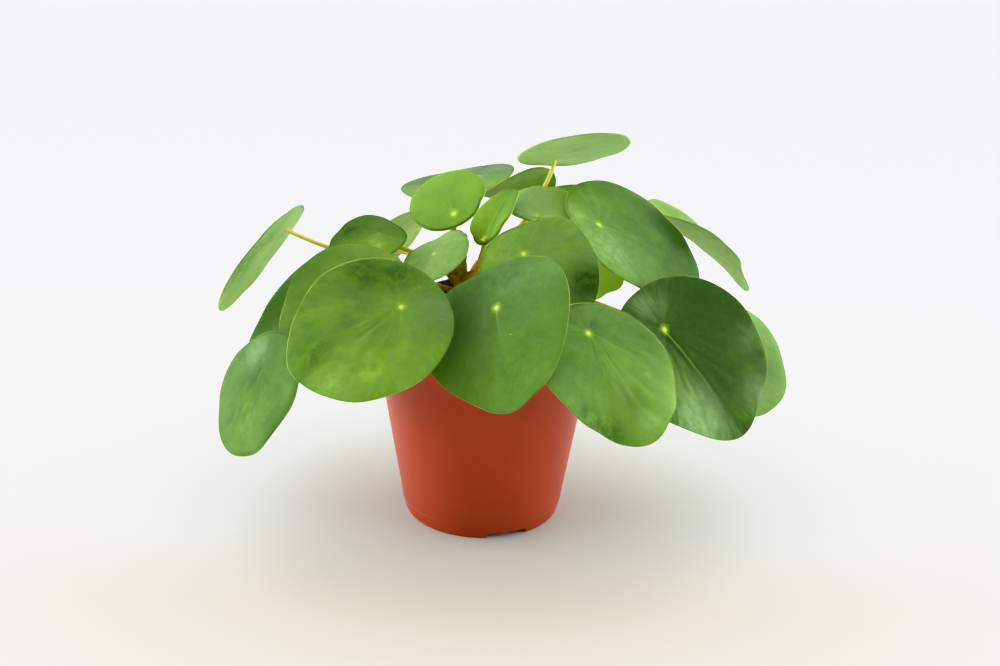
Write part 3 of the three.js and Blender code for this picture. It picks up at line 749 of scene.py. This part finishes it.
LEAVES = [
    leaf((-104.5, 11, 150.5), (161, 33), 37, (69, 63), 0.22, (0.02, 0.02, 0.11), (121, 0, -30),
         (0.3, 0.08), (0.25, 0.25, 0.1, 0.2), swell=((110, 3.5), (255, -4), (310, -3)), crease=0.05,
         drift=(110, 0.28), spots=((29, 20, 12, 0.25, -0.1), (9, 17, 10, 0.2, 0),
         (19, -5, 10, -0.15, 0.35))),
    leaf((-109, -59, 102.5), (-147, 34), 18, (65, 62), 0.31, (0.07, 0.04, 0.03), (119, 30, 0),
         (0.35, 0.26), (0.75, 0.05, 0.15, 0.3), swell=((30, 1.6), (85, 1.6), (215, -1.2), (290, -1.2)),
         dot=0, spots=((-8, -10, 9, 0, 0.45), (24, 0, 18, -0.12, -0.1))),
    leaf((-40, -72, 142.5), (-99, 55), -44, (82, 78), 0.26, (0.09, 0.01, -0.02), (113, 0, -10),
         (0.23, 0.28), (0.5, 0.15, 0.15, 0.6), swell=((50, 1.4), (118, -1.1), (271, 1.1), (344, 1.4)),
         wave=(3, 0.6), drift=(238, 0.11), spots=((-10, -15, 9, 0.22, -0.1), (3, -28, 9, 0.2, -0.1),
         (24, -9, 5, 0.18, 0), (48, -6, 9, 0.18, -0.1), (50, 12, 10, -0.12, 0.12), (32, 18, 9, -0.12, 0),
         (-12, 14, 12, 0.1, 0.25), (15, -18, 6, 0.15, 0.1))),
    leaf((-60.5, -31, 135.5), (-107, 51), -25, (72, 69), 0.32, (0.09, 0.03, 0), (134, 10, 5), (0.35, 0.21),
         (0.5, 0.25, 0.2, 0.4), swell=((240, 1.4), (270, 1.6), (320, 2)), drift=(9, 0.12)),
    leaf((-88, 5, 113.5), (-156, 43), -32, (79, 75), 0.32, (0.06, 0.05, 0), (112, 25, -15), (0.3, 0.16),
         (0.85, -0.15, 0.2, 0.3), swell=((330, -2),), drift=(237, 0.2),
         spots=((37, -20, 22, 0.15, -0.85),)),
    leaf((-56, 10, 149.5), (-108, 74), -38, (40, 39), 0.32, (0.12, 0, 0.03), (134, 45, 5), (0.25, 0.21),
         (0.52, 0.1, 0.2, 0.3), swell=((148, 0.7), (190, -1.4), (240, 0.9), (292, -1.2)),
         drift=(247, 0.28), dot=0.1, spots=((5, 8, 5, -0.3, 0.1), (11, -10, 5, 0.3, 0))),
    leaf((-62.5, 52, 126.5), (143, 37), -69, (61, 58), 0.32, (0.07, 0.05, 0), (126, 40, 5), (0.4, 0.1),
         (0.3, 0.35, 0.2, 0.3), swell=((0, 1),), spots=((33, -9, 14, -0.1, 0.45),)),
    leaf((-7, 80, 157.5), (158, 77), 14, (63, 61), 0.33, (-0.03, 0.1, 0.02), (147, 45, 35), (0.35, 0.26),
         (0.78, 0.15, 0.3, 0.2), swell=((50, 1), (235, 1.5), (285, -2)), drift=(273, 0.4)),
    leaf((-16.5, -30, 175.5), (-124, 56), -131, (42, 40), 0.21, (0.13, -0.04, 0.02), (152, 85, -120),
         (0.49, 0.29), (0.42, 0.1, 0.2, 0.15), swell=((45, 0.8), (120, -0.6), (230, -1.6), (310, 0.8))),
    leaf((-27, -11, 147), (-160, 58), 91, (41, 39), 0.39, (0.04, 0, 0.02), (141, 15, 0), (0.4, 0.21),
         (0.35, 0.5, 0.25, 0.2), swell=((35, 0.9), (90, -1.2), (160, -3), (204, 2.4)), dot=0.5),
    leaf((-1.5, -4, 153.5), (-148, 43), -156, (36, 26), 0.12, (0.14, -0.32, 0), (127, 50, -20), (0.3, 0.1),
         (0.42, 0, 0.5, 0.2), swell=((141, -1.3), (247, -2), (320, 1.5)), drift=(330, 0.16), girth=1.4),
    leaf((23, 61, 156.5), (100, 43), 121, (41, 40), 0.26, (0.26, -0.16, -0.06), (116, 35, -15),
         (0.35, 0.21), (0.5, 0.05, 0.3, 0.4), swell=((45, -0.9),), crease=0.16, drift=(32, 0.2)),
    leaf((34, 44, 180.5), (107, 57), -156, (61, 58), 0.21, (-0.01, -0.03, -0.04), (129, 0, 10),
         (0.5, 0.08), (0.3, 0.75, 0.2, 0.2), swell=((108, -1.8), (180, -2.4), (290, 1)),
         drift=(355, 0.11)),
    leaf((25.5, 6, 163), (-73, 78), 142, (37, 35), 0.18, (-0.04, 0.03, 0.02), (121, 40, 5), (0.4, 0.26),
         (0.1, 0.75, 0.25, 0.2), swell=((20, -1.7), (75, 1), (115, -1.3), (143, 1.8), (187, -2.5)),
         drift=(133, 0.27), curl=(190, 40, 2), dot=0.5),
    leaf((52, 70, 146), (92, 38), 37, (59, 56), 0.33, (0.08, 0.05, 0), (126, 65, -20), (0.4, 0.26),
         (0.5, 0.4, 0.2, 0.3), swell=((0, 1),)),
    leaf((57.5, 7, 158), (-25, 58), 38, (85, 81), 0.23, (0.09, -0.04, 0.11), (131, 40, -15), (0.3, 0.26),
         (0.76, 0.15, 0.25, 0.3), swell=((20, -2.5), (50, -3), (102, 1.6), (206, -4), (242, 2.4)),
         wave=(3, 0.6), drift=(7, 0.25), spots=((48, 24, 8, 0.7, -0.2), (54, 14, 7, 0.5, -0.2),
         (0, -20, 14, -0.15, 0.3), (-15, 3, 8, -0.1, 0.2))),
    leaf((104.5, 69, 132.5), (23, 52), -9, (67, 66), 0.33, (0.09, -0.24, 0.05), (119, 20, 45), (0.5, 0.3),
         (0.47, 0.2, 0.3, 0.4),
         swell=((-45, -1.8), (-12, 7), (15, -2.4), (110, -1.5), (145, 1), (270, -2)), crease=0.25,
         nip=(30, 0.8)),
    leaf((18.5, -28, 154.5), (-104, 48), 47, (63, 59), 0.27, (0.15, 0, 0.01), (131, 25, -20), (0.45, 0.21),
         (0.5, 0.35, 0.25, 0.6), swell=((122, 1.8), (163, -1.2), (199, 1.2), (232, -0.9)),
         drift=(21, 0.26), spots=((32, 16, 9, 0.35, -0.35), (-8, -8, 10, -0.1, 0.05))),
    leaf((46, 10, 133.5), (-30, 84), -52, (51, 48), 0.32, (0.08, 0.04, 0), (111, 0, 15), (0.5, 0.15),
         (-0.6, 0.2, 0.3, 0.3), swell=((40, -2.8),)),
    leaf((5.5, -74, 144), (-137, 48), 45, (83, 79), 0.35, (0.27, -0.14, 0), (117, 25, -30), (0.4, 0.21),
         (0.76, 0.15, 0.3, 0.15), swell=((0, 1.4), (33, 1.5), (70, -1.2), (178, -1.8), (322, -1.5)),
         wave=(5, 0.8), drift=(193, 0.15), spots=((5, -14, 14, 0.12, 0.05), (42, 8, 14, -0.06, -0.05),
         (-12, 12, 12, 0, 0.12))),
    leaf((50.5, -74, 132), (-48, 58), -7, (82, 77), 0.23, (0.19, 0.02, -0.11), (113, 5, -25), (0.45, 0.35),
         (0.58, 0.2, 0.2, 0.5),
         swell=((36, -2.1), (86, 1.5), (122, -1.8), (273, 1.6), (322, -4), (345, -2.5)), wave=(5, 1.2),
         drift=(193, 0.14), curl=(205, 32, 2.5), spots=((52, -14, 8, 0.28, -0.1), (43, -24, 8, 0.26, -0.1),
         (53, 8, 6, -0.1, 0.35), (-5, 6, 4, 0.2, 0), (28, 20.5, 1.5, -0.35, 0))),
    leaf((89.5, -45, 122.5), (-58, 47), 29, (87, 85), 0.27, (0.18, -0.15, 0.03), (111, 20, 5), (0.3, 0.16),
         (0.95, 0.1, 1, 1), swell=((20, -3), (60, 1.7), (104, -1.3), (285, 1.6), (350, 1.8)), crease=0.04,
         wave=(6, 0.9), drift=(107, 0.2), lean=-0.13, spots=((30, 5, 10, 0.3, 0), (12, 14, 6, 0.2, 0),
         (40, -26, 18, -0.18, 0.45), (-15, 4, 9, 0, 0.4), (54, 12, 9, -0.05, 0.4),
         (34, 32, 7, -0.05, 0.25))),
    leaf((118, 0, 99), (-58, 54), 16, (72, 69), 0.32, (0.06, 0.05, 0), (116, 45, 0), (0.35, 0.16),
         (0.56, 0.55, 0.3, 0.3), swell=((5, -0.9), (58, -1), (100, 0.8)), drift=(223, 0.2),
         spots=((30, 15, 9, 0.25, -0.1),)),
    leaf((-70, 62, 104), (140, 46), 10, (70, 67), 0.31, (0.1, 0.03, 0), (117, 75, -20), (0.5, 0.2),
         (0.6, 0.15, 0.3, 0.4), swell=((0, 1.2),)),
    leaf((-18, 92, 82), (98, 42), -12, (70, 67), 0.3, (0.12, 0.04, 0), (124, 25, -25), (0.5, 0.1),
         (0.65, 0.1, 0.3, 0.4), swell=((0, 1.2),)),
    leaf((38, 86, 84), (66, 45), 14, (60, 57), 0.33, (0.08, 0.05, 0), (112, 45, 0), (0.6, 0.16),
         (0.7, 0.1, 0.3, 0.4), swell=((0, 1.2),)),
]
print(len(LEAVES), "leaves, the largest", max(row.size[0] for row in LEAVES), "mm long")

# %% [markdown]
# The shape of a blade
#
# The blade's mesh is a round net: rings from the stalk out to the rim, and
# spokes. It follows the leaf's own growth, so the midrib, the dimple over the
# stalk and the ripples of the rim all come out of simple sums. So fleshy a leaf
# has thickness: the net is laid twice, and the two meet in a rounded rim.

# %% Blade sums
THICKNESS = 0.9  # millimetres, like all lengths in these sums
EGG = 0.1  # how much narrower the half towards the tip is
CREASE_WIDTH = 10
SWELL_WIDTH = 16  # degrees
SPOKES = 120
RINGS = [0, 0.02, 0.04, 0.065, 0.095, *np.linspace(0.13, 0.95, 22)]
RIM_STEPS = [1.1, 0.75, 0.5, 0.32, 0.18, 0.08, 0.02]  # from the rim


def leaf_axes(row):
    """The leaf's own axes as columns: towards the tip, to the side and up."""
    bearing, elevation = (math.radians(a) for a in row.faces)
    turn = math.radians(row.turn)
    level, steep = math.cos(elevation), math.sin(elevation)
    up = np.array([level * math.cos(bearing), level * math.sin(bearing), steep])
    downhill = np.array([steep * math.cos(bearing), steep * math.sin(bearing), -level])
    tip = math.cos(turn) * downhill + math.sin(turn) * np.cross(up, downhill)
    return np.column_stack([tip, np.cross(up, tip), up])


def middle_along(row):
    """How far towards the tip the blade's middle lies from the stalk."""
    return (0.5 - row.seat) * row.size[0]


def bent(row, u, v):
    """Height of the upper face above the leaf's flat plane."""
    length, width = row.size
    bend = (row.arch * u * u + row.droop * v * v - row.twist * u * v) / length
    fold = row.crease * v * v / (np.abs(v) + CREASE_WIDTH)
    count, height = row.wave
    out = np.hypot(u, v) / (width / 2)
    ripple = height * out**3 * np.sin(count * np.arctan2(v, u))
    start, drop = row.nip
    return fold - bend + ripple - drop * (np.maximum(0, u - start) / 15) ** 2


def degrees_off(turn, angle):
    """Degrees between a turn in radians and an angle, the short way round."""
    return (np.degrees(turn) - angle + 180) % 360 - 180


def rim_of(row, turn):
    """Flat outline of the blade at a turn round its middle."""
    length, width = row.size
    forward = 0.5 * length * np.cos(turn)
    v = 0.5 * width * np.sin(turn) * (1 - EGG * np.cos(turn))
    stretch = np.ones_like(turn)
    for angle, push in row.swell:
        stretch += push * hump(degrees_off(turn, angle), SWELL_WIDTH) / np.hypot(forward, v)
    return middle_along(row) + forward * stretch, v * stretch


def relief(row, number, u, v, edge):
    """Fine shape: dimple, midrib valley, puckers between the veins, and the rim's roll."""
    reach, turn = np.hypot(u, v), np.arctan2(v, u)
    away = np.clip(reach / 10, 0, 1)
    inner = np.clip(edge / 6, 0, 1)
    dimple = 0.18 * hump(reach, 0.9) - 0.55 * hump(reach, 2.4)
    off_rib = v - row.lean * u
    valley = 0.22 * hump(off_rib, 0.8) + 0.9 * row.rib * np.exp(-np.abs(off_rib) / 4)
    valley *= row.rib * np.clip(u / 3, 0, 1) * inner
    wander, ripple = [], []
    for x, y, r, t in zip(u, v, reach, turn):
        wander.append(noise.noise(Vector((x / 15 + 7.3 * number, y / 15, number * 1.7))))
        polar = Vector((math.cos(t) * 7, math.sin(t) * 7, r / 16 + number * 3.1))
        ripple.append(noise.noise(polar) + 0.5 * noise.noise(polar * 2))
    wander, ripple = np.array(wander), np.array(ripple)
    lobes = np.abs(np.sin(4.5 * turn + 1.6 * wander + number)) ** 0.6 * inner
    outer = np.clip(reach / 25, 0, 1) ** 2
    pucker = row.pucker * (0.5 * lobes * away + 0.55 * ripple * outer)
    angle, spread, depth = row.curl
    curl = depth * hump(degrees_off(turn, angle), spread) * np.clip(1 - edge / 9, 0, 1) ** 2
    roll = 0.45 * np.clip(1 - edge / 3.5, 0, 1) ** 2 + curl
    return dimple - valley + 0.45 * wander * away + pucker - roll


# %% Blade mesh
def blade(row, number):
    """Points of one fine blade, how many are in each net, and their edge, u and v."""
    turns = np.arange(SPOKES) / SPOKES * math.tau
    rim_u, rim_v = rim_of(row, turns)
    reach = np.hypot(rim_u, rim_v)
    shares = [np.full(SPOKES, ring) for ring in RINGS[1:]] + [1 - step / reach for step in RIM_STEPS]
    shares = np.array(shares)
    u = np.append(0, rim_u * shares)
    v = np.append(0, rim_v * shares)
    edge = np.append(reach.min(), (1 - shares) * reach)
    half = THICKNESS / 2
    near = np.clip(edge / half, 0, 1)
    thick = half * np.sqrt(1 - (1 - near) ** 2)
    fine = relief(row, number, u, v, edge)
    step = 0.4
    slope_u = (bent(row, u + step, v) - bent(row, u - step, v)) / (2 * step)
    slope_v = (bent(row, u, v + step) - bent(row, u, v - step)) / (2 * step)
    normal = np.stack([-slope_u, -slope_v, np.ones_like(u)], -1)
    normal /= np.linalg.norm(normal, axis=1)[:, None]
    centre = np.stack([u, v, bent(row, u, v)], -1) - normal * half
    upper = centre + normal * (thick + fine * near)[:, None]
    lower = centre + normal * (-thick + fine * near)[:, None]
    rim_line = np.stack([rim_u, rim_v, bent(row, rim_u, rim_v) - half], -1)
    local = np.concatenate([upper, lower, rim_line])
    points = (local @ leaf_axes(row).T + np.array(row.at)) * MM
    at_rim = np.zeros(SPOKES), rim_u, rim_v
    return points, len(u), [np.concatenate([a, a, b]) for a, b in zip((edge, u, v), at_rim)]


def net_faces(count):
    """Faces of the two nets, of so many points each, and of the rim that joins them."""
    rings = count // SPOKES
    upper = net(rings, SPOKES)
    faces = upper + [tuple(count + i for i in (face[0], *face[:0:-1])) for face in upper]
    last, rim = 1 + (rings - 1) * SPOKES, 2 * count
    for k in range(SPOKES):
        n = (k + 1) % SPOKES
        faces.append((last + k, rim + k, rim + n, last + n))
        faces.append((count + last + k, count + last + n, rim + n, rim + k))
    return faces


def make_blade(row, number):
    """The blade, painted with all that its material reads."""
    points, count, (edge, u, v) = blade(row, number)
    mesh = bpy.data.meshes.new(f"leaf_blade_{number:02d}")
    mesh.from_pydata(points.tolist(), [], net_faces(count))
    mesh.shade_smooth()
    piece = shown(mesh.name, mesh)
    under = np.concatenate([np.zeros(count), np.ones(count), np.full(SPOKES, 0.5)])
    paint(piece, "edge", edge)
    paint(piece, "along", u)
    paint(piece, "aside", v - row.lean * u)
    paint(piece, "under", under)
    for name in ("rib", "pucker", "dot"):
        paint(piece, name, np.full_like(u, getattr(row, name)))
    # Painted shade: the age rises towards the drift's side, so that side of the blade is painted deeper
    # green.
    side, deeper = math.radians(row.drift[0]), row.drift[1]
    length, width = row.size
    across = (u - middle_along(row)) * math.cos(side) + v * math.sin(side)
    paint(piece, "age", row.age + deeper * across / (0.25 * (length + width)))
    # Spots add patches of deeper green and of pale wax and painted sheen; some of them are painted shadows.
    patch, bloom = np.zeros_like(u), np.full_like(u, row.bloom)
    for spot_u, spot_v, spread, more_age, more_wax_and_sheen in row.spots:
        share = hump(np.hypot(u - spot_u, v - spot_v), spread)
        patch += more_age * share
        bloom += more_wax_and_sheen * share
    paint(piece, "patch", patch)
    paint(piece, "bloom", np.clip(bloom, -1, 1))
    return piece


# %% [markdown]
# The leaf's finish
#
# A Pilea leaf is satin and slightly waxy. It has a bright dot over the stalk, a lighter midrib that fades
# out beside the painted shade of its groove, and soft mottling, and its underside is paler and duller. All
# of this is drawn with the numbers stored at the vertices: how far a point is from the rim, and how far
# along and aside it is from the dot, in millimetres.
#
# First comes one number, the level: how deep the green is at each point. It is the leaf's age, moved by
# clouds, spots, blotches and, on a puckered leaf, by the small wrinkles that run inward from its rim. On a
# puckered leaf the clouds, blotches and wrinkles are painted light and shade of its relief as well as
# mottled colour, and some spots are painted shadows.

# %% Leaf material: how deep the green is
LEAF_NUMBERS = ("edge", "along", "aside", "under", "age", "bloom", "rib", "pucker", "dot", "patch")
WRINKLES_ROUND = 11.0  # about as many wrinkles as noise cells on a circle this wide


def start_leaf():
    """The leaf's node tree with its stored numbers, polar place and noises."""
    n = Nodes("pilea_leaf")
    for name in LEAF_NUMBERS:
        setattr(n, name, n.attribute(name))
    n.reach = n.sum("SQRT", n.along * n.along + n.aside * n.aside)
    n.turn = n.sum("ARCTAN2", n.aside, n.along)
    n.broad = n.noise(45, 3.0, 0.55)
    n.cloud = n.noise(150, 3.0, 0.6)
    n.crumpled = n.noise(230, 4.0, 0.65)
    n.fine = n.noise(900, 2.0, 0.6)
    n.drift = n.broad * 0.7 - 0.35 + (n.cloud * 0.24 - 0.12)
    return n


def rim_crinkles(n):
    """Heights of the small wrinkles that run inward from the rim of a puckered leaf."""
    polar = n.new("CombineXYZ")
    n.put(polar.inputs[0], n.sum("COSINE", n.turn) * WRINKLES_ROUND)
    n.put(polar.inputs[1], n.sum("SINE", n.turn) * WRINKLES_ROUND)
    n.put(polar.inputs[2], n.reach * 0.10)
    wrinkles = n.noise(1.0, 2.0, 0.5, at=polar.outputs[0])
    return (wrinkles - 0.5) * (n.pucker * n.pucker * n.fade(n.edge, 0.5, 15.0))


def green_level(n, crinkles):
    """How deep the green is: 0 is young and yellow-green, 1 is old and deep."""
    # Painted light and shade: on a puckered leaf the cloudy mottling is made stronger to stand for the
    # shading of its puckers, and some spots are painted shadows.
    level = n.age + n.drift * (n.pucker * 0.75 + 0.45)
    level = level + n.patch * n.rise(n.crumpled, 0.36, 0.64, 0.3, 1.5)  # spots with ragged edges
    # Blotches and rim wrinkles lighten and darken the green as painted light and shade of the relief, over
    # mottled colour.
    blotches_and_shade = (n.crumpled - 0.5) * (n.pucker * n.pucker)
    return level + crinkles * -0.9 + blotches_and_shade * 0.6


# %% [markdown]
# The veins come next. Nine faint ones fan out from the dot and waver with the clouds. The midrib is a thin
# line ahead of the dot, and beside it a painted shade stands for the shade of the fold that it sits in.

# %% Leaf material: veins, midrib and painted groove shade
def near_line(n, distance, width):
    """One on a line, falling to nought at the given distance from it."""
    return n.fade(abs(distance), 0.0, width)


def veins_and_midrib(n):
    """How much vein or midrib is at each point, from 0 to 1."""
    wave = abs(n.sum("SINE", n.turn * 4.5 + n.drift * 3.0))
    veins = n.fade(wave, 0.0, 0.10) * n.fade(n.reach, 4, 26, 0.55)
    length = n.rib * 42.0 + 4.4
    left = n.sum("SUBTRACT", 1.0, n.sum("DIVIDE", n.along, length), clamp=True)
    midrib = near_line(n, n.aside, 0.75) * (left * n.rise(n.along, 0.0, 1.0)) * (n.rib * 0.42 + 0.35)
    return n.sum("MAXIMUM", veins * 0.2, midrib)


def groove_shade(n):
    """Painted shade of the fold beside a clear midrib."""
    beside = near_line(n, n.aside + 2.4, 3.0) * n.rise(n.along, -1.0, 4.0)
    return beside * n.fade(n.along, 14, 40, 0.85) * (n.rib * n.rib)


# %% [markdown]
# Last, the colours. The level runs through two ramps, one for each face of the blade. The pale wax and
# painted sheen is mixed over the top, and where it is below nought a deep pure green is painted for light
# shining through the leaf. A level below nought is painted glowing for the same reason. Then come specks,
# the painted groove shade, ribs and dot.

# %% Leaf material: colours
LEAF_GREENS = [(0.0, (0.300, 0.500, 0.062)), (0.3, (0.168, 0.308, 0.042)), (0.6, (0.093, 0.188, 0.032))]
LEAF_GREENS += [(0.85, (0.052, 0.115, 0.023)), (1.0, (0.034, 0.078, 0.019))]
BACK_GREENS = [(0.0, (0.52, 0.67, 0.33)), (0.5, (0.25, 0.41, 0.15)), (1.0, (0.13, 0.23, 0.06))]
PAINTED_GLOW, WAX_AND_SHEEN_TONE, PAINTED_SHINE_THROUGH = (0.64, 0.85, 0.24), (0.30, 0.45, 0.22), (0.020, 0.064, 0.001)
SPECKLED, PAINTED_GROOVE_SHADE, RIBBED = (0.02, 0.085, 0.006), (0.016, 0.050, 0.010), (0.30, 0.46, 0.13)
DOT_HALO, DOT_CORE = (0.33, 0.52, 0.05), (0.58, 0.78, 0.15)
BACK_RIBBED, RIM, WHITE_SPECK = (0.42, 0.55, 0.20), (0.045, 0.085, 0.015), (0.80, 0.84, 0.72)


def top_colour(n, level, ribs):
    # Painted glow: a level below nought turns bright yellow-green, as light shining through the leaf.
    top = n.mix(n.rise(level, 0.0, -0.6), n.ramp(level, *LEAF_GREENS), PAINTED_GLOW)
    # Pale wax and painted sheen, a painted reflection of the bright room.
    top = n.mix(n.bloom * n.rise(n.crumpled, 0.25, 0.75, 0.5, 1.0), top, WAX_AND_SHEEN_TONE)
    # Painted light shining through: deep pure green where the wax and sheen number is below nought.
    top = n.mix(n.sum("MULTIPLY", n.bloom, -1.0, clamp=True), top, PAINTED_SHINE_THROUGH)
    top = n.mix(n.rise(n.fine, 0.35, 0.75, 0.0, 0.08), top, SPECKLED)
    # Painted shade beside the midrib.
    top = n.mix(groove_shade(n), top, PAINTED_GROOVE_SHADE)
    top = n.mix(ribs * 0.75, top, RIBBED)
    uneven = n.reach * (n.noise(400, 2.0) * 0.8 + 0.6)
    top = n.mix(n.dot * n.fade(uneven, 1.0, 3.8, 0.55), top, DOT_HALO)
    return n.mix(n.dot * n.fade(uneven, 0.4, 1.7), top, DOT_CORE)


def pale_specks(n):
    """Rare white grains, in a few of the cells of a Voronoi pattern."""
    cells = n.new("TexVoronoi")
    n.put(cells.inputs["Vector"], n.place())
    cells.inputs["Scale"].default_value = 150
    speck = n.fade(cells.outputs["Distance"], 0.03, 0.06)
    return speck * (n.rise(n.noise(60, 1.0), 0.60, 0.64) * 0.35)


def leaf_finish():
    n = start_leaf()
    crinkles = rim_crinkles(n)
    level = green_level(n, crinkles)
    ribs = veins_and_midrib(n)
    back = n.mix(ribs * 0.6, n.ramp(level, *BACK_GREENS), BACK_RIBBED)
    tone = n.mix(n.rise(n.under, 0.4, 0.6), top_colour(n, level, ribs), back)
    tone = n.mix(n.fade(n.edge, 0.1, 0.75, 0.4), tone, RIM)
    tone = n.mix(pale_specks(n), tone, WHITE_SPECK)
    rough = n.rise(n.broad, 0.3, 0.7, 0.38, 0.50) + n.under * 0.14
    height = n.fine * 0.5 + ribs * -1.2 + n.cloud * (n.pucker * 4.0) + crinkles * 25.0
    normal = n.bump(height, 0.35, 0.00012)
    return n.finish(Base_Color=tone, Roughness=rough, Normal=normal, IOR=1.42, Specular_IOR_Level=0.04,
                    Subsurface_Weight=1.0, Subsurface_Radius=(1.0, 1.0, 0.5), Subsurface_Scale=0.002)


leaf_material = leaf_finish()
for number, row in enumerate(LEAVES, 1):
    hand_over(make_blade(row, number), leaf_material, f"leaf_{number:02d}")

# %% [markdown]
# The stalks
#
# Each stalk leaves the trunk outward, then rises in a slender arch into its
# blade. A cubic Bezier curve has just these two directions as its ends, so
# nothing is drawn by hand. Stalks swell a little at the trunk and under the blade.

# %% Stalks
STALK = Sizes(root=1.5, tip=1.05, steps=44, sides=16)  # radii in millimetres


def stalk_line(row):
    """Points along one stalk, from inside the trunk into the blade."""
    up = Vector(leaf_axes(row)[:, 2])
    end = Vector(row.at) * MM - up * (THICKNESS * 0.75 * MM)
    height, rise, swing = row.root
    centre, radius = trunk_at(height * MM)
    bearing = math.atan2(end.y - centre.y, end.x - centre.x) + math.radians(swing)
    slope = math.radians(rise)
    outward = Vector((math.cos(bearing), math.sin(bearing), 0))
    leaving = outward * math.cos(slope) + Vector((0, 0, math.sin(slope)))
    start = centre + outward * (radius + STALK.root * row.girth * MM * math.sin(slope))
    reach = (end - start).length
    a, b = start + leaving * row.pull[0] * reach, end - up * row.pull[1] * reach
    fine = [start - leaving * 1.2 * MM]
    for t in np.linspace(0, 1, 160):
        s = 1 - t
        fine.append(start * s**3 + a * 3 * s * s * t + b * 3 * s * t * t + end * t**3)
    return even(fine, STALK.steps)


def make_stalk(row, number):
    line = stalk_line(row)
    length = sum((b - a).length for a, b in zip(line, line[1:]))

    def radius_at(part):
        taper = STALK.root + (STALK.tip - STALK.root) * part
        foot = 0.45 * math.exp(-part * length / (3.5 * MM))
        head = 0.5 * math.exp(-(1 - part) * length / (1.1 * MM))
        return row.girth * (taper + foot + head) * MM

    points, faces = tube(line, radius_at, STALK.sides)
    piece = solid(f"leaf_stalk_{number:02d}", points, faces)
    paint(piece, "part", part_way(STALK.steps, STALK.sides))
    paint(piece, "age", np.full(len(points), row.age))
    return piece


# %% [markdown]
# Juicy stalks
#
# A stalk is brown where it leaves the trunk, then ochre, then yellow-green, and
# light goes a little way into it. Fine streaks run along it.

# %% Stalk material
def stalk_finish():
    n = Nodes("pilea_stalk")
    part, age = n.attribute("part"), n.attribute("age")
    streaks = n.noise(900, 3.0, 0.6, (1, 1, 0.3))
    patches = n.noise(120, 3.0, 0.6)
    level = part + (patches * 0.3 - 0.15)
    tone = n.ramp(level, (0.0, (0.13, 0.050, 0.014)), (0.15, (0.46, 0.22, 0.045)),
                  (0.45, (0.78, 0.56, 0.11)), (0.9, (0.78, 0.76, 0.17)))
    tone = n.mix(age * 0.15, tone, (0.30, 0.36, 0.06))
    tone = n.mix(n.rise(streaks, 0.45, 0.8, 0, 0.25), tone, (0.36, 0.30, 0.06))
    return n.finish(Base_Color=tone, Roughness=0.42, Normal=n.bump(streaks, 0.3, 0.0001), IOR=1.42,
                    Subsurface_Weight=0.5, Subsurface_Radius=(1.0, 0.8, 0.3), Subsurface_Scale=0.0015)


stalk_material = stalk_finish()
for number, row in enumerate(LEAVES, 1):
    hand_over(make_stalk(row, number), stalk_material, f"stalk_{number:02d}")
